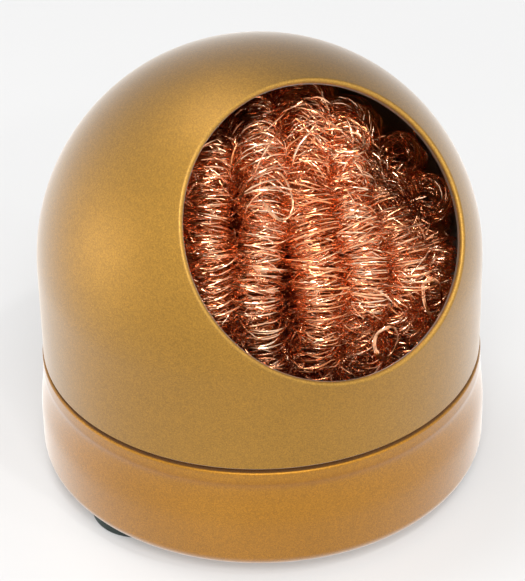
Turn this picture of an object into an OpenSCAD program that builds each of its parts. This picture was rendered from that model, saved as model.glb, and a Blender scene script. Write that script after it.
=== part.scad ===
// Soldering tip cleaner: a domed metal holder filled with curled metal wool.
// Upright on +Z, feet on z = 0, centred on the Z axis, mouth facing -Y and upwards. Millimetres.

/* [Dome cover] */
// outer radius of the spherical dome and its straight skirt
dome_r = 37; // [36.5:0.1:38]
// thickness of the cover's sheet
dome_t = 0.8; // [0.7:0.1:0.9]
// height of the straight skirt below the dome's equator
skirt_h = 16.35; // [16:0.05:20]
// angle of the mouth's axis above the horizontal
mouth_tilt = 38; // [34:1:42]
// clear radius of the mouth, inside its turned-in rim
mouth_r = 23.6; // [22.5:0.1:23.8]
// outer radius of the rim's rounded edge
rim_r = 1.05; // [1:0.05:1.4]
// length of the straight lip that the rim turns into
lip_len = 0.6; // [0.4:0.1:1]

/* [Base] */
// outer radius of the base's wall
base_r = 37.9; // [37.6:0.1:39]
// height of the base's wall from its underside to the seam
base_h = 19.3; // [18:0.1:22]
// thickness of the base's sheet
base_t = 1.2; // [1:0.1:1.4]
// radius of the rounded edge under the base
base_fillet = 2.4; // [1.8:0.1:3]
// radius of the rounded edge at the top of the base's wall
lip_fillet = 0.8; // [0.4:0.1:1]
// height of the inner collar above the seam
collar_h = 6.5; // [4:0.5:9]
// thickness of the collar's sheet
collar_t = 0.9; // [0.7:0.1:1]
// height of the dark joint between the base's wall and the cover's skirt
seam_gap = 0.5; // [0.4:0.1:0.8]
// clearance on the radius between the collar and the skirt
fit_gap = 0.3; // [0.3:0.05:0.5]
// thickness of the weight plate in the base
plate_t = 4; // [2:0.5:4]
// radius of the weight plate
plate_r = 33; // [28:0.5:33.5]

/* [Feet] */
// thickness of each foot below the base
foot_h = 2.2; // [2:0.1:3]
// radius of each foot
foot_r = 8; // [5:0.1:8]
// distance of each foot's centre from the Z axis
foot_pitch_r = 28.4; // [26:0.1:28.4]
// direction of the first foot, anticlockwise from +X seen from above
foot_angle = 194; // [0:1:359]

/* [Wool] */
// radius of each rolled strand
strand_r = 4; // [3.6:0.1:4]
// turn of the strands' planes about the Z axis
wool_turn = -28; // [-60:1:60]
// half width of the outer layer, to the strands' centres
outer_w = 30.2; // [29.8:0.1:30.4]
// half height of the outer layer, to the strands' centres
outer_m = 26.6; // [26.3:0.1:26.6]
// half width of the middle layer
middle_w = 21.8; // [21.6:0.1:21.9]
// half height of the middle layer
middle_m = 18.2; // [18:0.1:18.2]
// side offset of the two side strands of the core
core_w = 8.3; // [8.2:0.1:8.5]
// radius of the core's central strand, to the strand's centre
core_m = 9.7; // [9.4:0.1:9.8]

/* [Hidden] */
base_under_z = foot_h;
base_top_z = base_under_z + base_h;
skirt_low_z = base_top_z + seam_gap;
centre_z = skirt_low_z + skirt_h;
dome_inner_r = dome_r - dome_t;
collar_r = dome_inner_r - fit_gap;
collar_inner_r = collar_r - collar_t;
floor_z = base_under_z + base_t;
base_inner_r = base_r - base_t;
rim_ring_r = mouth_r + rim_r;
rim_start = asin(rim_ring_r / (dome_r - rim_r));
rim_ring_h = (dome_r - rim_r) * cos(rim_start);
foot_edge = 0.5;
outer_steps = [0, 16.6, 33.2, 50.2, 68.6];
middle_steps = [0, 22.8, 46.2, 75];
core_side_m = 8;
$fn = 96;

// Points along an arc of radius r about c, from angle a0 to a1, in n steps.
function arc(c, r, a0, a1, n) = [
  for (i = [0:n]) let (a = a0 + (a1 - a0) * i / n) c + r * [cos(a), sin(a)]
];

// Puts its children's +Z on the mouth's axis, with the origin at the dome's centre.
module mouth_frame() {
  translate([0, 0, centre_z])
    rotate([90 - mouth_tilt, 0, 0])
      children();
}

// A half ball on top of a straight cylinder that reaches down by depth.
module bullet(r, depth) {
  translate([0, 0, centre_z])
    intersection() {
      sphere(r = r);
      translate([-r - 1, -r - 1, 0])
        cube([2 * r + 2, 2 * r + 2, r + 1]);
    }
  translate([0, 0, centre_z - depth])
    cylinder(r = r, h = depth);
}

// The turned-in edge of the mouth: a rounded shoulder and a short straight lip.
module rim() {
  centre = [rim_ring_r, rim_ring_h];
  start = 90 - rim_start;
  lip = [0, -lip_len];
  outer_edge = arc(centre, rim_r, start, 180, 14);
  inner_edge = arc(centre, rim_r - dome_t, 180, start, 10);
  mouth_frame()
    rotate_extrude()
      polygon(concat(
        outer_edge,
        [centre + [-rim_r, 0] + lip, centre + [dome_t - rim_r, 0] + lip],
        inner_edge
      ));
}

module dome_cover() {
  color([0.69, 0.53, 0.25])
    union() {
      difference() {
        bullet(dome_r, skirt_h);
        bullet(dome_inner_r, skirt_h + 1);
        mouth_frame()
          cylinder(r1 = 0, r2 = 2 * dome_r * tan(rim_start), h = 2 * dome_r);
      }
      rim();
    }
}

module base_cup() {
  wall_low = base_under_z + base_fillet;
  inner_fillet = base_fillet - base_t;
  color([0.68, 0.48, 0.15])
    rotate_extrude()
      polygon(concat(
        [[0, base_under_z]],
        arc([base_r - base_fillet, wall_low], base_fillet, -90, 0, 10),
        arc([base_r - lip_fillet, base_top_z - lip_fillet], lip_fillet, 0, 90, 6),
        [[collar_r, base_top_z]],
        [[collar_r, base_top_z + collar_h], [collar_inner_r, base_top_z + collar_h]],
        [[collar_inner_r, base_top_z - base_t], [base_inner_r, base_top_z - base_t]],
        arc([base_inner_r - inner_fillet, wall_low], inner_fillet, 0, -90, 6),
        [[0, floor_z]]
      ));
}

module weight_plate() {
  color([0.45, 0.45, 0.46])
    translate([0, 0, floor_z])
      cylinder(r = plate_r, h = plate_t);
}

// A round rubber pad under the base, with its lower edge bevelled.
module foot(angle) {
  color([0.1, 0.16, 0.14])
    rotate([0, 0, angle])
      translate([foot_pitch_r, 0, 0]) {
        cylinder(r1 = foot_r - foot_edge, r2 = foot_r, h = foot_edge);
        translate([0, 0, foot_edge])
          cylinder(r = foot_r, h = foot_h - foot_edge);
      }
}

module foot_left() {
  foot(foot_angle);
}

module foot_right() {
  foot(foot_angle + 120);
}

module foot_back() {
  foot(foot_angle + 240);
}

// One rolled strand: a closed ring in a plane across the wool ball's width.
module strand(side, ring_r) {
  color([0.72, 0.36, 0.22])
    translate([0, 0, centre_z])
      rotate([0, 0, wool_turn])
        translate([side, 0, 0])
          rotate([0, 90, 0])
            rotate_extrude()
              translate([ring_r, 0])
                circle(r = strand_r);
}

module outer_strand(step) {
  angle = sign(step) * outer_steps[abs(step)];
  strand(outer_w * sin(angle), outer_m * cos(angle));
}

module middle_strand(step) {
  angle = sign(step) * middle_steps[abs(step)];
  strand(middle_w * sin(angle), middle_m * cos(angle));
}

dome_cover();
base_cup();
weight_plate();
foot_left();
foot_right();
foot_back();
outer_strand(0);  // wool_outer_mid
outer_strand(-1);  // wool_outer_l1
outer_strand(-2);  // wool_outer_l2
outer_strand(-3);  // wool_outer_l3
outer_strand(-4);  // wool_outer_l4
outer_strand(1);  // wool_outer_r1
outer_strand(2);  // wool_outer_r2
outer_strand(3);  // wool_outer_r3
outer_strand(4);  // wool_outer_r4
middle_strand(0);  // wool_middle_mid
middle_strand(-1);  // wool_middle_l1
middle_strand(-2);  // wool_middle_l2
middle_strand(-3);  // wool_middle_l3
middle_strand(1);  // wool_middle_r1
middle_strand(2);  // wool_middle_r2
middle_strand(3);  // wool_middle_r3
strand(0, core_m);  // wool_core_mid
strand(-core_w, core_side_m);  // wool_core_left
strand(core_w, core_side_m);  // wool_core_right
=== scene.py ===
"""Looks for the domed soldering tip cleaner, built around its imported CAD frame."""

import math

import bpy
import numpy as np
from mathutils import Matrix, Vector


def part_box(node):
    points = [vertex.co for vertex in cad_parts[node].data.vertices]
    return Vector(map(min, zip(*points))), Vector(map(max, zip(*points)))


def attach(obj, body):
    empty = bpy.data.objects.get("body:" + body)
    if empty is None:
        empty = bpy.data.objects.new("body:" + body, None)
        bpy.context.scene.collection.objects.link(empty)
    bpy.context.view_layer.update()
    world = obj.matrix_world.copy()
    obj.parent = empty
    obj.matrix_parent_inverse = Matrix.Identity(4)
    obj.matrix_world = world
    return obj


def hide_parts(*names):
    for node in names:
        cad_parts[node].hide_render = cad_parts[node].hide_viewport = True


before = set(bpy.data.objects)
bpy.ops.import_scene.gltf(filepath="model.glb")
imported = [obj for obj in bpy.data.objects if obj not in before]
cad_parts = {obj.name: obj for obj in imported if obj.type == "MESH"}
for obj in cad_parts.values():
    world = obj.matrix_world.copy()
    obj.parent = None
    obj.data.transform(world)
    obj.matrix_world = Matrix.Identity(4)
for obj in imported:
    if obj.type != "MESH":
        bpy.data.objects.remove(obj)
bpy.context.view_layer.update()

MM = 0.001
SEED = 20260

# ---------------------------------------------------------------- sizes read from the frame

cover_low, cover_high = (np.array(v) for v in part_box("dome_cover"))
base_low, base_high = (np.array(v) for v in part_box("base_cup"))
plate_low, plate_high = (np.array(v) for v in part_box("weight_plate"))

DOME_R = (cover_high[0] - cover_low[0]) / 2
CENTRE = np.array([0.0, 0.0, cover_high[2] - DOME_R])
SKIRT_LOW = cover_low[2] - CENTRE[2]
BASE_R = (base_high[0] - base_low[0]) / 2
BASE_LOW = base_low[2]
COLLAR_TOP = base_high[2]

# These repeat the design's sizes that no box gives.
DOME_T = 0.8 * MM
MOUTH_TILT = math.radians(38)
MOUTH_R = 23.6 * MM
LIP_LEN = 0.6 * MM
SEAM_GAP = 0.5 * MM
BASE_T = 1.2 * MM
BASE_FILLET = 2.4 * MM
COLLAR_T = 0.9 * MM
FIT_GAP = 0.3 * MM
STRAND_R = 4.0 * MM
BASE_TOP = cover_low[2] - SEAM_GAP

# These are for looks only. The design's rim is rounder, 1.05 mm, and as thick as its sheet.
RIM_R = 0.55 * MM
RIM_T = 0.45 * MM
FLAKE = 0.17 * MM
RIBBON_T = 0.05 * MM
HOLLOW_DEPTH = 6.0 * MM
WOOL_REACH = DOME_R - 3.2 * MM
CURL_STEPS_LEAST = 6
CURL_STEPS_A_TURN = 9
RING_STEPS_A_TURN = 34


# ---------------------------------------------------------------- mesh helpers


def grid_faces(rows, columns, wrap_rows, wrap_columns):
    """Quads of a grid of points, row by row."""
    r = np.arange(rows if wrap_rows else rows - 1)
    c = np.arange(columns if wrap_columns else columns - 1)
    r, c = np.meshgrid(r, c, indexing="ij")
    r2, c2 = (r + 1) % rows, (c + 1) % columns
    quads = np.stack(
        [r * columns + c, r2 * columns + c, r2 * columns + c2, r * columns + c2], -1
    )
    return quads.reshape(-1, 4)


def new_mesh(name, points, quads, material, extra_faces=(), smooth_angle=None, flat=False):
    """A linked object from points, an array of quads and a few other faces."""
    me = bpy.data.meshes.new(name)
    me.vertices.add(len(points))
    me.vertices.foreach_set("co", np.ascontiguousarray(points, np.float32).ravel())
    corners = [int(i) for f in extra_faces for i in f]
    loops = np.concatenate([quads.ravel(), np.array(corners, int)])
    sizes = np.concatenate(
        [np.full(len(quads), 4), np.array([len(f) for f in extra_faces], int)]
    ).astype(int)
    starts = np.concatenate([[0], np.cumsum(sizes)[:-1]])
    me.loops.add(len(loops))
    me.loops.foreach_set("vertex_index", loops.astype(np.int32))
    me.polygons.add(len(sizes))
    me.polygons.foreach_set("loop_start", starts.astype(np.int32))
    me.polygons.foreach_set("loop_total", sizes.astype(np.int32))
    me.update(calc_edges=True)
    me.validate()
    me.polygons.foreach_set("use_smooth", np.full(len(me.polygons), not flat))
    if smooth_angle is not None:
        me.set_sharp_from_angle(angle=math.radians(smooth_angle))
    for one in material if isinstance(material, (list, tuple)) else [material]:
        me.materials.append(one)
    ob = bpy.data.objects.new(name, me)
    bpy.context.scene.collection.objects.link(ob)
    return ob


def arc(centre, radius, start, end, steps):
    """Points on an arc in the (r, z) plane, angles in degrees."""
    a = np.radians(np.linspace(start, end, steps + 1))
    return np.stack([centre[0] + radius * np.cos(a), centre[1] + radius * np.sin(a)], -1)


def lathe(name, profile, material, around=224, centre=(0, 0), smooth_angle=38):
    """A closed solid of revolution. The profile runs from the axis to the axis."""
    profile = np.asarray(profile, float)
    ring = profile[1:-1]
    a = np.linspace(0, 2 * np.pi, around, endpoint=False)
    pts = np.stack(
        [
            centre[0] + ring[:, None, 0] * np.cos(a),
            centre[1] + ring[:, None, 0] * np.sin(a),
            np.repeat(ring[:, None, 1], around, 1),
        ],
        -1,
    ).reshape(-1, 3)
    low = len(pts)
    pts = np.vstack(
        [pts, [centre[0], centre[1], profile[0, 1]], [centre[0], centre[1], profile[-1, 1]]]
    )
    last = (len(ring) - 1) * around
    fans = []
    for i in range(around):
        j = (i + 1) % around
        fans.append((low, j, i))
        fans.append((low + 1, last + i, last + j))
    quads = grid_faces(len(ring), around, False, True)[:, ::-1]
    return new_mesh(name, pts, quads, material, fans, smooth_angle)


# ---------------------------------------------------------------- the wool's directions


def wool_axes():
    """The wool's own directions: across the strands, and level along them."""
    low, high = (np.array(v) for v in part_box("wool_outer_r4"))
    middle = (low + high) / 2
    turn = math.atan2(middle[1], middle[0])
    return (
        np.array([math.cos(turn), math.sin(turn), 0.0]),
        np.array([-math.sin(turn), math.cos(turn), 0.0]),
        np.array([0.0, 0.0, 1.0]),
    )


WOOL_X, WOOL_Y, WOOL_Z = wool_axes()


def on_ball(side, angle, reach):
    """A point of the wool at a side offset, an angle round the ball and a distance from its axis."""
    out = math.cos(math.radians(angle)) * WOOL_Y + math.sin(math.radians(angle)) * WOOL_Z
    return tuple(CENTRE + side * MM * WOOL_X + reach * MM * out)


# where the copper is darkened as painted shade, standing for the shadow in the wool's hollows and pits and
# on its lower and left parts: a place, a radius, and how much
PAINTED_SHADE_SPOTS = [
    (on_ball(29, 112, 19), 14 * MM, 0.75),
    (on_ball(-4.5, 97, 30), 6.8 * MM, 0.9),
    (on_ball(0, 205, 30), 19 * MM, 0.75),
    (on_ball(-27, 150, 22), 15 * MM, 0.75),
    (on_ball(20.5, 178, 24.5), 4.4 * MM, 0.95),
    (on_ball(28.2, 173, 16.5), 3.4 * MM, 0.9),
]


# ---------------------------------------------------------------- material helpers


class Nodes:
    """Short calls for a material's node tree."""

    def __init__(self, name):
        self.mat = bpy.data.materials.new(name)
        self.mat.use_nodes = True
        self.tree = self.mat.node_tree
        self.shader = self.tree.nodes["Principled BSDF"]
        self.where = self.add("ShaderNodeTexCoord").outputs["Object"]

    def add(self, kind, **values):
        node = self.tree.nodes.new(kind)
        for key, value in values.items():
            setattr(node, key, value)
        return node

    def link(self, out, socket):
        self.tree.links.new(out, socket)

    def noise(self, scale, detail, rough):
        node = self.add("ShaderNodeTexNoise")
        node.inputs["Scale"].default_value = scale
        node.inputs["Detail"].default_value = detail
        node.inputs["Roughness"].default_value = rough
        self.link(self.where, node.inputs["Vector"])
        return node.outputs["Fac"]

    def cells(self, scale):
        node = self.add("ShaderNodeTexVoronoi")
        node.inputs["Scale"].default_value = scale
        self.link(self.where, node.inputs["Vector"])
        return node

    def ramp(self, value, stops):
        node = self.add("ShaderNodeValToRGB")
        ramp = node.color_ramp
        while len(ramp.elements) < len(stops):
            ramp.elements.new(0.5)
        for element, (at, colour) in zip(ramp.elements, stops):
            element.position = at
            element.color = (*colour, 1)
        self.link(value, node.inputs["Fac"])
        return node.outputs["Color"]

    def spread(self, value, low, high, from_low=0.0, from_high=1.0):
        node = self.add("ShaderNodeMapRange")
        for key, number in zip(
            ("From Min", "From Max", "To Min", "To Max"), (from_low, from_high, low, high)
        ):
            node.inputs[key].default_value = number
        self.link(value, node.inputs["Value"])
        return node.outputs["Result"]

    def mix(self, factor, a, b, blend="MIX"):
        node = self.add("ShaderNodeMix", data_type="RGBA", blend_type=blend)
        for socket, value in ((node.inputs[0], factor), (node.inputs[6], a), (node.inputs[7], b)):
            if isinstance(value, (int, float)):
                socket.default_value = value
            elif isinstance(value, tuple):
                socket.default_value = (*value, 1)
            else:
                self.link(value, socket)
        return node.outputs[2]

    def bump(self, height, strength, distance, normal=None):
        node = self.add("ShaderNodeBump")
        node.inputs["Strength"].default_value = strength
        node.inputs["Distance"].default_value = distance
        self.link(height, node.inputs["Height"])
        if normal is not None:
            self.link(normal, node.inputs["Normal"])
        return node.outputs["Normal"]

    def set(self, **sockets):
        for key, value in sockets.items():
            self.shader.inputs[key.replace("_", " ")].default_value = value

    def feed(self, out, socket):
        self.link(out, self.shader.inputs[socket])


def gold_lacquer(name, deep, mid, pale, rough, sheen, shade_line_z=None):
    """Satin metallic lacquer: fine flakes, faint clouding and an uneven gloss."""
    m = Nodes(name)
    cloud = m.noise(30, 4, 0.55)
    colour = m.ramp(cloud, [(0.3, deep), (0.5, mid), (0.72, pale)])
    flakes = m.cells(1 / FLAKE)
    sparkle = m.ramp(
        flakes.outputs["Color"],
        [(0.2, (0.7, 0.68, 0.64)), (0.55, (1, 1, 1)), (0.95, (1.38, 1.34, 1.25))],
    )
    colour = m.mix(0.6, colour, sparkle, "MULTIPLY")
    if shade_line_z is not None:
        # a darker line painted along the slight bead below the lip: painted shade standing for the shadow
        # in the groove there, with a ragged edge
        split = m.add("ShaderNodeSeparateXYZ")
        m.link(m.where, split.inputs["Vector"])
        off = m.spread(split.outputs["Z"], -1, 1, shade_line_z - 1.1 * MM, shade_line_z + 1.1 * MM)
        bell = m.add("ShaderNodeMath", operation="ABSOLUTE")
        m.link(off, bell.inputs[0])
        ragged = m.spread(m.noise(500, 3, 0.6), 0.25, 0.75)
        dark = m.mix(ragged, (1, 1, 1), (0.72, 0.62, 0.35))
        groove_shade = m.mix(1.0, colour, dark, "MULTIPLY")
        colour = m.mix(m.spread(bell.outputs[0], 1, 0), colour, groove_shade)
    m.feed(colour, "Base Color")
    m.set(Metallic=0.88, Coat_Weight=0.28, Coat_Roughness=0.4)
    m.set(Sheen_Weight=sheen, Sheen_Roughness=0.4)
    m.feed(m.spread(m.noise(260, 3, 0.6), rough - 0.04, rough + 0.06), "Roughness")
    grain = m.bump(m.noise(5200, 2, 0.6), 0.2, 0.00004)
    m.feed(m.bump(m.noise(900, 3, 0.5), 0.1, 0.00008, grain), "Normal")
    return m.mat


def copper_ribbon(name, dark, mid, bright, rough):
    """Thin bright turnings: heat tints that differ from ribbon to ribbon, and painted shade darkening the
    copper at listed spots.
    """
    m = Nodes(name)
    each = m.add("ShaderNodeNewGeometry").outputs["Random Per Island"]
    tint = m.mix(0.35, m.noise(240, 3, 0.6), each)
    colour = m.ramp(tint, [(0.28, dark), (0.5, mid), (0.72, bright)])
    # painted shade: darker copper round each spot, standing for the shadow there
    for place, radius, depth in PAINTED_SHADE_SPOTS:
        away = m.add("ShaderNodeVectorMath", operation="DISTANCE")
        m.link(m.where, away.inputs[0])
        away.inputs[1].default_value = place
        shade_amount = m.spread(away.outputs["Value"], depth, 0, 0.45 * radius, radius)
        colour = m.mix(shade_amount, colour, m.mix(1.0, colour, (0.3, 0.2, 0.17), "MULTIPLY"))
    m.feed(colour, "Base Color")
    m.set(Metallic=1.0)
    m.feed(m.spread(m.noise(1500, 2, 0.5), rough - 0.07, rough + 0.1), "Roughness")
    m.feed(m.bump(m.noise(3000, 2, 0.6), 0.2, 0.00003), "Normal")
    return m.mat


def plain_steel(name):
    """Turned steel: fine rings round the axis, and cloudy stains."""
    m = Nodes(name)
    wave = m.add("ShaderNodeTexWave", wave_type="RINGS", rings_direction="Z")
    wave.inputs["Scale"].default_value = 900
    wave.inputs["Distortion"].default_value = 0.6
    m.link(m.where, wave.inputs["Vector"])
    m.feed(m.ramp(m.noise(60, 4, 0.6), [(0.3, (0.3, 0.3, 0.31)), (0.7, (0.5, 0.5, 0.5))]), "Base Color")
    m.set(Metallic=1.0)
    m.feed(m.spread(m.noise(400, 3, 0.6), 0.32, 0.5), "Roughness")
    m.feed(m.bump(wave.outputs["Fac"], 0.25, 0.00004), "Normal")
    return m.mat


def dark_rubber(name):
    """Matt rubber with a fine moulded grain and dust in its hollows."""
    m = Nodes(name)
    dust = m.noise(350, 4, 0.6)
    m.feed(m.ramp(dust, [(0.35, (0.011, 0.022, 0.019)), (0.75, (0.03, 0.05, 0.045))]), "Base Color")
    m.feed(m.spread(m.noise(900, 2, 0.5), 0.55, 0.75), "Roughness")
    m.feed(m.bump(m.noise(2600, 3, 0.6), 0.35, 0.00006), "Normal")
    return m.mat


# ---------------------------------------------------------------- dome cover


def mouth_axes():
    """The mouth's axis, and two directions across it."""
    axis = np.array([0.0, -math.cos(MOUTH_TILT), math.sin(MOUTH_TILT)])
    side = np.array([1.0, 0.0, 0.0])
    return axis, side, np.cross(axis, side)


def on_bullet(points):
    """Points given on balls about the centre, moved out below the equator to straight walls."""
    out = points.copy()
    reach = np.linalg.norm(points, axis=-1)
    across = np.linalg.norm(points[..., :2], axis=-1)
    k = np.where(points[..., 2] < 0, reach / np.maximum(across, 1e-9), 1.0)
    out[..., 0] *= k
    out[..., 1] *= k
    return out


def build_cover(material, rim_material):
    around, along = 256, 84
    axis, side, up = mouth_axes()
    ring_r = MOUTH_R + RIM_R
    ring_h = math.sqrt((DOME_R - RIM_R) ** 2 - ring_r**2)
    start = math.asin(ring_r / (DOME_R - RIM_R))
    edge_round = 0.18 * MM
    low_el = math.asin(SKIRT_LOW / DOME_R)
    s = np.linspace(0, 2 * np.pi, around, endpoint=False)

    def mouth_point(rho, height):
        return axis * height + rho * (np.cos(s)[:, None] * side + np.sin(s)[:, None] * up)

    # The rounded rim, from the lip's inner end out to the ball, as an offset of radius r.
    def rim_rows(r, steps):
        a = np.linspace(np.pi, np.pi / 2 - start, steps + 1)
        out = [mouth_point(ring_r - r, ring_h - LIP_LEN * f) for f in (1.0, 0.5)]
        out += [mouth_point(ring_r + r * math.cos(b), ring_h + r * math.sin(b)) for b in a]
        return out

    # Each column's great circle from the rim to the skirt's lower edge.
    def ball_rows(radius, fractions):
        lateral = np.cos(s)[:, None] * side + np.sin(s)[:, None] * up
        target = math.sin(low_el)
        # sin(el) along the circle is a cos(g) + b sin(g); solve for its last crossing of the edge
        a_, b_ = axis[2], lateral[:, 2]
        amp = np.hypot(a_, b_)
        end = np.arctan2(b_, a_) + np.arccos(np.clip(target / amp, -1, 1))
        out = []
        for f in fractions:
            g = start + (end - start) * f
            out.append(radius * (np.cos(g)[:, None] * axis + np.sin(g)[:, None] * lateral))
        return out

    # closer together near the rim, so that its shading ends there
    fractions = np.linspace(0, 1, along + 1)[1:] ** 1.6
    outer_rim, inner_rim = rim_rows(RIM_R, 14), rim_rows(RIM_R - RIM_T, 8)
    outer = outer_rim + ball_rows(DOME_R, fractions)
    inner = inner_rim + ball_rows(DOME_R - DOME_T, fractions)
    rows = [on_bullet(r) for r in outer] + [on_bullet(r) for r in inner[::-1]]
    # the skirt's lower edge is flat, at one height, with its outer corner eased
    n_out = len(outer)
    for row in (rows[n_out - 1], rows[n_out]):
        row[:, 2] = SKIRT_LOW
    eased = rows[n_out - 1].copy()
    eased[:, :2] *= (DOME_R - edge_round) / DOME_R
    rows[n_out - 1][:, 2] += edge_round
    rows.insert(n_out, eased)
    pts = np.stack(rows).reshape(-1, 3) + CENTRE
    quads = grid_faces(len(rows), around, True, True)
    ob = new_mesh("cover_shell", pts, quads, [material, rim_material], smooth_angle=40)
    row_of = np.arange(len(quads)) // around
    on_rim = (row_of < len(outer_rim)) | (row_of >= len(rows) - len(inner_rim))
    ob.data.polygons.foreach_set("material_index", on_rim.astype(np.int32))
    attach(ob, "cover")
    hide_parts("dome_cover")


# ---------------------------------------------------------------- base, weight and feet


def build_base(material):
    lip = 0.4 * MM
    bead_low, bead_mid, bead_high = 2.6 * MM, 2.3 * MM, 2.0 * MM
    lean_low, lean_high = 11 * MM, 2.8 * MM
    edge = 0.4 * MM
    top_r = DOME_R + 0.2 * MM
    lean = BASE_R - top_r
    collar_r = DOME_R - DOME_T - FIT_GAP
    collar_in = collar_r - COLLAR_T
    f_in = BASE_FILLET - BASE_T
    z0 = BASE_LOW
    top = BASE_TOP - 0.15 * MM
    parts = [
        [(0, z0), (BASE_R * 0.5, z0)],
        arc((BASE_R - BASE_FILLET, z0 + BASE_FILLET), BASE_FILLET, -90, 0, 14),
        # the wall leans in a little towards the seam, where it is level with the skirt
        [
            (BASE_R - lean * smooth(k), top - lean_low + (lean_low - lean_high) * k)
            for k in (0.0, 0.15, 0.3, 0.45, 0.6, 0.75, 0.9)
        ],
        # a slight bead below the lip
        [(top_r - 0.02 * MM, top - bead_low), (top_r + 0.04 * MM, top - bead_mid)],
        [(top_r, top - bead_high)],
        arc((top_r - lip, top - lip), lip, 0, 90, 9),
        [(collar_r + 0.25 * MM, top), (collar_r + 0.06 * MM, top + 0.06 * MM)],
        [(collar_r, top + 0.25 * MM)],
        arc((collar_r - edge, COLLAR_TOP - edge), edge, 0, 90, 5),
        arc((collar_in + edge, COLLAR_TOP - edge), edge, 90, 180, 5),
        [(collar_in, top - BASE_T + 0.3 * MM), (collar_in + 0.3 * MM, top - BASE_T)],
        [(top_r - BASE_T - 0.2 * MM, top - BASE_T), (BASE_R - BASE_T, top - lean_low)],
        arc((BASE_R - BASE_T - f_in, z0 + BASE_FILLET), f_in, 0, -90, 8),
        [(BASE_R * 0.5, z0 + BASE_T), (0, z0 + BASE_T)],
    ]
    ob = lathe("base_shell", np.vstack([np.asarray(p, float) for p in parts]), material)
    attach(ob, "base")
    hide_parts("base_cup")


def build_weight(material):
    r = (plate_high[0] - plate_low[0]) / 2
    low, high = plate_low[2], plate_high[2]
    c = 0.5 * MM
    dimple = high - 0.6 * MM
    profile = [(0, low), (r - c, low), (r, low + c), (r, high - c), (r - c, high)]
    profile += [(r * 0.55, high), (6 * MM, high), (5 * MM, dimple), (2 * MM, dimple), (0, dimple)]
    ob = lathe("weight_disc", profile, material, around=160, smooth_angle=30)
    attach(ob, "base")
    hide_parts("weight_plate")


def build_foot(node, material):
    low, high = (np.array(v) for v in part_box(node))
    r = (high[0] - low[0]) / 2
    cx, cy = (low[:2] + high[:2]) / 2
    e = 0.7 * MM
    profile = [(0, low[2] + 0.25 * MM), (r * 0.45, low[2] + 0.22 * MM), (r * 0.6, low[2])]
    profile += list(arc((r - e, low[2] + e), e, -90, 0, 7))
    profile += [(r, high[2] - 0.15 * MM), (r - 0.15 * MM, high[2]), (r * 0.5, high[2]), (0, high[2])]
    ob = lathe(node.replace("foot_", "pad_"), profile, material, around=96, centre=(cx, cy))
    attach(ob, "base")
    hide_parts(node)


# ---------------------------------------------------------------- metal wool


def wobble(rng, knots, t):
    """Smooth random values, mostly -1 to 1, read at t in 0..1 from knots spaced round a loop."""
    values = rng.normal(0, 0.5, knots)
    x = t * knots
    i = np.floor(x).astype(int)
    f = x - i
    p = [values[(i + k) % knots] for k in (-1, 0, 1, 2)]
    return 0.5 * (
        2 * p[1]
        + (p[2] - p[0]) * f
        + (2 * p[0] - 5 * p[1] + 4 * p[2] - p[3]) * f**2
        + (3 * p[1] - p[0] - 3 * p[2] + p[3]) * f**3
    )


def unit(v):
    return v / np.maximum(np.linalg.norm(v, axis=-1, keepdims=True), 1e-12)


def sweep(path, across, width, thick, closed):
    """Points and quads of a thin ribbon of lens section along path. across is its width's direction."""
    if closed:
        tangent = np.roll(path, -1, 0) - np.roll(path, 1, 0)
    else:
        tangent = np.gradient(path, axis=0)
    tangent = unit(tangent)
    across = unit(across - (across * tangent).sum(-1, keepdims=True) * tangent)
    normal = np.cross(tangent, across)
    w = width[:, None] / 2
    h = thick / 2
    pts = np.stack(
        [path + across * w, path + normal * h, path - across * w, path - normal * h], 1
    ).reshape(-1, 3)
    quads = grid_faces(len(path), 4, closed, True)
    caps = [] if closed else [(3, 2, 1, 0), tuple(len(pts) - 4 + k for k in range(4))]
    return pts, quads, caps


class Hank:
    """Gathers ribbons into one mesh."""

    def __init__(self):
        self.points, self.quads, self.caps, self.count = [], [], [], 0

    def take(self, piece):
        pts, quads, caps = piece
        self.points.append(pts)
        self.quads.append(quads + self.count)
        self.caps += [tuple(i + self.count for i in c) for c in caps]
        self.count += len(pts)

    def build(self, name, material):
        return new_mesh(
            name, np.vstack(self.points), np.vstack(self.quads), material, self.caps, flat=True
        )


def smooth(x):
    """0 below 0, 1 above 1, with an easy start and end."""
    x = np.clip(x, 0, 1)
    return x * x * (3 - 2 * x)


def crowd(angle):
    """How far the strands lean together where the ball was squeezed in under the mouth's top."""
    return 0.16 * smooth((np.radians(150) - angle) / np.radians(45)) * (angle > np.radians(60))


def hollow(side, angle):
    """How deep the ball is pushed in, 0 to about 1.2, at three places: beside the mouth's top on
    the right, left of the middle, and a small pit at the lower right."""
    edge = np.radians(131) + np.radians(1.75) * (side / MM - 19)
    right = smooth((edge - angle) / np.radians(34)) * smooth((side / MM - 15.5) / 4.5)
    right = right * smooth((angle - np.radians(35)) / np.radians(35))
    left = np.exp(-(((side / MM + 5) / 4.0) ** 2) - ((angle - np.radians(93)) / np.radians(13)) ** 2)
    pit = np.exp(-(((side / MM - 20.5) / 5) ** 2) - ((angle - np.radians(178)) / np.radians(8)) ** 2)
    return right + 1.2 * left + 1.2 * pit


def rope_path(node, t):
    """Centre line of one strand, its outward direction, and how sunken it is, at t in 0..1."""
    low, high = (np.array(v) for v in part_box(node))
    middle = (low + high) / 2
    side = float((middle - CENTRE) @ WOOL_X)
    ring = (high[2] - low[2]) / 2 - STRAND_R
    rng = np.random.default_rng(node_seed(node))
    a = 2 * np.pi * t
    side_t = side * (1 - crowd(a)) + 1.7 * MM * wobble(rng, 11, t)
    sunk = hollow(side_t, a)
    ring_t = ring + 1.1 * MM * wobble(rng, 8, t)
    out = np.cos(a)[:, None] * WOOL_Y + np.sin(a)[:, None] * WOOL_Z
    path = CENTRE + side_t[:, None] * WOOL_X + ring_t[:, None] * out
    path = path - (HOLLOW_DEPTH * sunk * ring / (26 * MM))[:, None] * unit(path - CENTRE)
    return path, out, sunk


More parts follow.
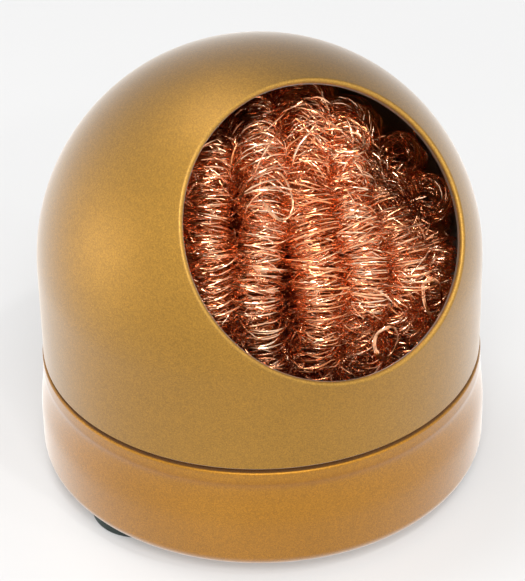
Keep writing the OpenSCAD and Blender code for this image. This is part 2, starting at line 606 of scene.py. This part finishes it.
def keep_in(points):
    """Keeps the wool off the weight and inside the cover."""
    points[:, 2] = np.maximum(points[:, 2], plate_high[2] + 0.25 * MM)
    rel = points - CENTRE
    reach = np.where(rel[:, 2] > 0, np.linalg.norm(rel, axis=1), np.linalg.norm(rel[:, :2], axis=1))
    k = np.minimum(1, WOOL_REACH / np.maximum(reach, 1e-9))
    points[:, :2] = CENTRE[:2] + rel[:, :2] * k[:, None]
    points[:, 2] = np.where(rel[:, 2] > 0, CENTRE[2] + rel[:, 2] * k, points[:, 2])
    return points


def coil(rng, node, radius, pitch, per_turn, width, hand):
    """One ribbon coiled round its strand's whole ring. hand is 1 or -1."""
    low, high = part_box(node)
    ring = (high[2] - low[2]) / 2 - STRAND_R
    turns = max(12, int(round(2 * np.pi * ring / pitch)))
    t = np.arange(turns * per_turn) / (turns * per_turn)
    path, out, sunk = rope_path(node, t)
    tangent = unit(np.roll(path, -1, 0) - np.roll(path, 1, 0))
    sidewards = np.cross(tangent, out)
    angle = hand * 2 * np.pi * turns * t + 2.5 * wobble(rng, max(6, turns // 5), t)
    size = radius * (1 + 0.1 * wobble(rng, max(5, turns // 8), t) + 0.26 * wobble(rng, turns, t))
    size = size * (1 + 0.08 * wobble(rng, turns * 3, t)) * (1 - 0.15 * sunk)
    off_out = 0.5 * MM * wobble(rng, turns // 2, t)
    off_side = 0.9 * MM * wobble(rng, turns // 2, t)
    tip = 1.2 * MM * (0.6 + wobble(rng, max(6, turns // 4), t))
    turn_at = 2 * np.pi * wobble(rng, 9, t)
    along = tip * np.sin(angle + turn_at) + 0.8 * pitch * wobble(rng, turns, t)
    along = along + 0.35 * pitch * wobble(rng, turns * 3, t)
    spot = path + (size * np.cos(angle) + off_out)[:, None] * out
    spot = spot + (size * np.sin(angle) + off_side)[:, None] * sidewards + along[:, None] * tangent
    radial = np.cos(angle)[:, None] * out + np.sin(angle)[:, None] * sidewards
    roll = 0.6 * wobble(rng, turns * 3, t) + 1.3 * wobble(rng, turns * 8, t)
    across = np.cos(roll)[:, None] * tangent + np.sin(roll)[:, None] * radial
    w = width * (1 + 0.3 * wobble(rng, turns, t))
    return sweep(keep_in(spot), across, w, RIBBON_T, True)


def curls(rng, node, count, size_range, turn_range, tilt, reach, width, where):
    """Short loose ends that spring from a strand: parts of a turn, each tilted at random."""
    steps = CURL_STEPS_LEAST + int(CURL_STEPS_A_TURN * turn_range[1])
    path, out, _ = rope_path(node, rng.uniform(*where, count))
    around = unit(np.cross(WOOL_X, out))
    sidewards = np.cross(around, out)
    radius = rng.uniform(*size_range, count)[:, None] * MM
    sweep_a = rng.uniform(*turn_range, count)[:, None] * 2 * np.pi
    run = np.linspace(0, 1, steps)[None, :]
    a = rng.uniform(0, 2 * np.pi, count)[:, None] + run * sweep_a
    lean = rng.normal(0, tilt, (2, count, 1))
    axis = unit(around + lean[0] * out + lean[1] * sidewards)
    u = unit(out - (out * axis).sum(-1, keepdims=True) * axis)
    v = np.cross(axis, u)
    shift = rng.uniform(-1, 1, (3, count, 1)) * reach * MM
    place = path + shift[0] * out + shift[1] * sidewards + 0.6 * shift[2] * around
    grow = radius * (1 + rng.uniform(-0.22, 0.22, (count, 1)) * (2 * run - 1))
    grow = grow * (1 + 0.06 * np.sin(2.3 * a + rng.uniform(0, 6, (count, 1))))
    rise = (run - 0.5) * rng.uniform(-1.5, 1.5, (count, 1)) * MM
    radial = np.cos(a)[..., None] * u[:, None] + np.sin(a)[..., None] * v[:, None]
    spot = place[:, None] + grow[..., None] * radial + rise[..., None] * axis[:, None]
    spot = keep_in(spot.reshape(-1, 3)).reshape(count, steps, 3)
    roll = rng.uniform(-0.7, 0.7, (count, 1)) + rng.normal(0, 0.7, (count, steps))
    across = np.cos(roll)[..., None] * axis[:, None] + np.sin(roll)[..., None] * radial
    tangent = unit(np.gradient(spot, axis=1))
    across = unit(across - (across * tangent).sum(-1, keepdims=True) * tangent)
    normal = np.cross(tangent, across)
    taper = np.interp(run[0], [0, 0.12, 0.88, 1], [0.25, 1, 1, 0.25])
    w = (rng.uniform(0.8, 1.2, (count, 1)) * width * taper / 2)[..., None]
    h = RIBBON_T / 2
    pts = np.stack([spot + across * w, spot + normal * h, spot - across * w, spot - normal * h], 2)
    quads = grid_faces(steps, 4, False, True)
    quads = quads[None] + (np.arange(count) * steps * 4)[:, None, None]
    first = np.arange(count)[:, None] * steps * 4
    ends = np.concatenate([first + [3, 2, 1, 0], first + (steps - 1) * 4 + [0, 1, 2, 3]])
    return pts.reshape(-1, 3), np.concatenate([quads.reshape(-1, 4), ends]), []


def open_ring(rng, side, angle, depth, long_r, short_r, spin, turns, width):
    """A loose ring lying on the ball, seen from outside, at a side offset and an angle round it."""
    steps = int(turns * RING_STEPS_A_TURN)
    out = math.cos(angle) * WOOL_Y + math.sin(angle) * WOOL_Z
    down = np.cross(WOOL_X, out)
    run = np.linspace(0, 1, steps)
    a = 2 * np.pi * turns * run
    grow = 1 - 0.16 * run + 0.05 * wobble(rng, 9, run)
    u = math.cos(spin) * WOOL_X + math.sin(spin) * down
    v = -math.sin(spin) * WOOL_X + math.cos(spin) * down
    spot = CENTRE + side * WOOL_X + depth * out
    spot = spot + (long_r * grow * np.cos(a))[:, None] * u + (short_r * grow * np.sin(a))[:, None] * v
    spot = spot + (0.8 * MM * np.sin(a + 1) - 0.5 * MM * run)[:, None] * out
    across = np.cos(a)[:, None] * u + np.sin(a)[:, None] * v + 0.4 * np.sin(5 * a)[:, None] * out
    return sweep(keep_in(spot), across, np.full(steps, width), RIBBON_T, False)


def node_seed(node):
    """The same number for a strand each time, so its ribbons share one centre line."""
    return SEED + sum((i + 1) * ord(c) for i, c in enumerate(node))


def build_strand(node, material, ribbons, loose, seed, rings=()):
    rng = np.random.default_rng(SEED + seed)
    hank = Hank()
    for ring in rings:
        hank.take(open_ring(rng, *ring))
    for radius, pitch, per_turn, width, hand in ribbons:
        hank.take(coil(rng, node, radius, pitch, per_turn, width, hand))
    for kind in loose:
        hank.take(curls(rng, node, *kind))
    ob = hank.build(node.replace("wool_", "strand_"), material)
    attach(ob, "wool")
    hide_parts(node)


# ---------------------------------------------------------------- build

COVER_TONES = [(0.34, 0.172, 0.014), (0.37, 0.188, 0.018), (0.4, 0.207, 0.023)]
# The rim's tones are a paler copy of the cover's: a painted highlight along the rounded rim.
PALE_RIM_TONES = [(0.34, 0.18, 0.022), (0.37, 0.196, 0.028), (0.4, 0.215, 0.034)]
BASE_TONES = [(0.38, 0.163, 0.004), (0.41, 0.178, 0.006), (0.44, 0.195, 0.01)]
gold_cover = gold_lacquer("gold_cover", *COVER_TONES, 0.52, 0.65)
gold_rim = gold_lacquer("gold_rim", *PALE_RIM_TONES, 0.48, 0.5)
# the base's gold has a painted shade line 2.5 mm below its top, along the groove under the bead
gold_base = gold_lacquer("gold_base", *BASE_TONES, 0.48, 0.9, BASE_TOP - 2.5 * MM)
steel = plain_steel("weight_steel_turned")
rubber = dark_rubber("foot_rubber_grained")
COPPER_TINTS = [(0.85, 0.28, 0.1), (0.97, 0.46, 0.24), (1.0, 0.66, 0.44)]
copper = copper_ribbon("copper_turnings", *COPPER_TINTS, 0.17)

build_cover(gold_cover, gold_rim)
build_base(gold_base)
build_weight(steel)
for foot in ("foot_left", "foot_right", "foot_back"):
    build_foot(foot, rubber)

OUTER = ["wool_outer_mid"] + [f"wool_outer_{s}{i}" for s in "lr" for i in (1, 2, 3, 4)]
MIDDLE = ["wool_middle_mid"] + [f"wool_middle_{s}{i}" for s in "lr" for i in (1, 2, 3)]
CORE = ["wool_core_mid", "wool_core_left", "wool_core_right"]
# radius, pitch, points a turn, width, hand
OUTER_RIBBONS = [
    (3.95 * MM, 0.85 * MM, 22, 0.22 * MM, 1),
    (3.7 * MM, 1.0 * MM, 20, 0.2 * MM, -1),
]
MIDDLE_RIBBONS = [(3.9 * MM, 1.15 * MM, 12, 0.36 * MM, 1), (3.2 * MM, 1.5 * MM, 12, 0.36 * MM, -1)]
CORE_RIBBONS = [(3.7 * MM, 1.5 * MM, 10, 0.45 * MM, 1)]
# number, radii in mm, turns, tilt, reach in mm, width, part of the ring
OUTER_LOOSE = [
    (620, (3.2, 4.2), (0.1, 0.3), 0.3, 0.5, 0.2 * MM, (0, 1)),
    (110, (3.0, 4.4), (0.3, 0.9), 0.6, 0.7, 0.18 * MM, (0, 1)),
    (160, (1.2, 3.4), (0.3, 1.2), 0.9, 2.0, 0.18 * MM, (0, 1)),
]
TANGLE = (130, (2.2, 4.8), (0.35, 1.2), 0.9, 1.6, 0.25 * MM, (0.235, 0.325))
MIDDLE_LOOSE = [(60, (2.5, 4.2), (0.3, 1.2), 0.4, 1.2, 0.3 * MM, (0, 1))]
TANGLED = ("wool_outer_mid", "wool_outer_r1", "wool_outer_l1", "wool_outer_r2")
# side, angle round the ball, distance out, half length, half width, spin, turns, ribbon width
RINGS = {
    "wool_outer_r2": [(20.5 * MM, math.radians(178), 28.5 * MM, 3.4 * MM, 2.9 * MM, 0.9, 5.3, 0.22 * MM)],
    "wool_outer_r3": [(28.2 * MM, math.radians(173), 18.5 * MM, 4.6 * MM, 2.0 * MM, 1.2, 3.2, 0.3 * MM)],
    "wool_outer_mid": [(2.8 * MM, math.radians(128), 30.2 * MM, 5.0 * MM, 2.6 * MM, 1.3, 1.2, 0.32 * MM)],
    "wool_outer_r1": [(13.0 * MM, math.radians(108), 29.0 * MM, 4.4 * MM, 3.0 * MM, 0.4, 1.4, 0.34 * MM)],
}
for k, strand in enumerate(OUTER):
    loose = OUTER_LOOSE + ([TANGLE] if strand in TANGLED else [])
    build_strand(strand, copper, OUTER_RIBBONS, loose, k, RINGS.get(strand, ()))
for k, strand in enumerate(MIDDLE):
    build_strand(strand, copper, MIDDLE_RIBBONS, MIDDLE_LOOSE, 40 + k)
for k, strand in enumerate(CORE):
    build_strand(strand, copper, CORE_RIBBONS, [], 60 + k)

# ---------------------------------------------------------------- floor, light and camera


def build_floor():
    m = Nodes("pale_floor")
    m.feed(m.ramp(m.noise(6, 3, 0.5), [(0.3, (0.44, 0.44, 0.44)), (0.7, (0.46, 0.46, 0.46))]), "Base Color")
    m.set(Roughness=0.6, Emission_Color=(1, 1, 1, 1), Emission_Strength=0.3)
    m.feed(m.bump(m.noise(900, 2, 0.5), 0.05, 0.0001), "Normal")
    half = 3.0
    pts = np.array([(-half, -half, 0), (half, -half, 0), (half, half, 0), (-half, half, 0)], float)
    floor = new_mesh("floor", pts, np.array([[0, 1, 2, 3]]), m.mat)


def area_light(name, place, size, power):
    """A round lamp that points at the object."""
    data = bpy.data.lights.new(name, "AREA")
    data.shape = "DISK"
    data.size = size
    data.energy = power
    ob = bpy.data.objects.new(name, data)
    bpy.context.scene.collection.objects.link(ob)
    ob.location = place
    ob.rotation_euler = (LIGHT_TARGET - Vector(place)).to_track_quat("-Z", "Y").to_euler()


LIGHT_TARGET = Vector((0, 0, 0.04))
WORLD_STRENGTH = 1.4
# the room's grey level from straight down, 0, to straight up, 1
ROOM_LEVELS = [(0.0, 1.0), (0.52, 1.0), (0.75, 0.6), (1.0, 0.45)]
# a dark screen: its direction, and the cosines to it at which it begins and is darkest
SCREEN_SIDE = (0.5, 0.78, 0.38)
SCREEN_EDGE, SCREEN_MIDDLE = 0.45, 0.85
SCREEN_LEVEL = 0.18


def build_world():
    world = bpy.data.worlds.new("soft_room")
    bpy.context.scene.world = world
    world.use_nodes = True
    tree = world.node_tree
    back = tree.nodes["Background"]
    coord = tree.nodes.new("ShaderNodeTexCoord")
    split = tree.nodes.new("ShaderNodeSeparateXYZ")
    ramp = tree.nodes.new("ShaderNodeValToRGB")
    spread = tree.nodes.new("ShaderNodeMapRange")
    tree.links.new(coord.outputs["Generated"], split.inputs["Vector"])
    spread.inputs["From Min"].default_value = -1
    spread.inputs["From Max"].default_value = 1
    tree.links.new(split.outputs["Z"], spread.inputs["Value"])
    tree.links.new(spread.outputs["Result"], ramp.inputs["Fac"])
    while len(ramp.color_ramp.elements) < len(ROOM_LEVELS):
        ramp.color_ramp.elements.new(0.5)
    for element, (at, level) in zip(ramp.color_ramp.elements, ROOM_LEVELS):
        element.position = at
        element.color = (level, level, level, 1)
    # a dark screen behind the object, above the horizon
    facing = tree.nodes.new("ShaderNodeVectorMath")
    facing.operation = "DOT_PRODUCT"
    facing.inputs[1].default_value = SCREEN_SIDE
    tree.links.new(coord.outputs["Generated"], facing.inputs[0])
    screen = tree.nodes.new("ShaderNodeMapRange")
    keys = ("From Min", "From Max", "To Min", "To Max")
    for key, number in zip(keys, (SCREEN_EDGE, SCREEN_MIDDLE, 1.0, SCREEN_LEVEL)):
        screen.inputs[key].default_value = number
    tree.links.new(facing.outputs["Value"], screen.inputs["Value"])
    dimmed = tree.nodes.new("ShaderNodeVectorMath")
    dimmed.operation = "SCALE"
    tree.links.new(ramp.outputs["Color"], dimmed.inputs[0])
    tree.links.new(screen.outputs["Result"], dimmed.inputs["Scale"])
    tree.links.new(dimmed.outputs["Vector"], back.inputs["Color"])
    back.inputs["Strength"].default_value = WORLD_STRENGTH


CAMERA_AZ = math.radians(-28.2)
CAMERA_EL = math.radians(33.8)
CAMERA_DISTANCE = 12 * DOME_R
CAMERA_ROLL = math.radians(-1.15)
# small turns away from the dome's centre, which sits left of the picture's middle and above it
CAMERA_YAW = math.radians(-0.062308)
CAMERA_PITCH = math.radians(-0.773436)
SENSOR_W = 36
LENS = 182.8594


def build_camera():
    """A long lens at the photograph's angle, aimed so that the dome falls where it does there."""
    back = Vector(
        (
            math.sin(CAMERA_AZ) * math.cos(CAMERA_EL),
            -math.cos(CAMERA_AZ) * math.cos(CAMERA_EL),
            math.sin(CAMERA_EL),
        )
    )
    right = Vector((math.cos(CAMERA_AZ), math.sin(CAMERA_AZ), 0))
    up = back.cross(right)
    level = right * math.cos(CAMERA_ROLL) + up * math.sin(CAMERA_ROLL)
    upright = back.cross(level)
    place = Vector(CENTRE) + back * CAMERA_DISTANCE
    rot = Matrix((level, upright, back)).transposed()
    rot = rot @ Matrix.Rotation(CAMERA_YAW, 3, "Y") @ Matrix.Rotation(CAMERA_PITCH, 3, "X")
    data = bpy.data.cameras.new("camera")
    data.sensor_fit = "HORIZONTAL"
    data.sensor_width = SENSOR_W
    data.lens = LENS
    data.clip_start = 0.01
    data.clip_end = 20
    cam = bpy.data.objects.new("camera", data)
    bpy.context.scene.collection.objects.link(cam)
    cam.matrix_world = Matrix.Translation(place) @ rot.to_4x4()
    bpy.context.scene.camera = cam


build_floor()
build_world()
# name, place, size in metres, power in watts
area_light("front", (-0.33, -0.68, 1.0), 0.5, 8)
area_light("top_back", (-0.1, 0.4, 1.0), 0.5, 3.2)
area_light("left_low", (-0.9, 0.4, 0.12), 0.5, 2.0)
area_light("window", (0.5, -0.8, 0.5), 0.1, 0.8)
area_light("glint_near", (-0.1, -0.75, 0.6), 0.05, 0.7)
area_light("glint_high", (0.1, -0.45, 0.95), 0.05, 1.3)
build_camera()
bpy.context.scene.view_settings.view_transform = "Standard"
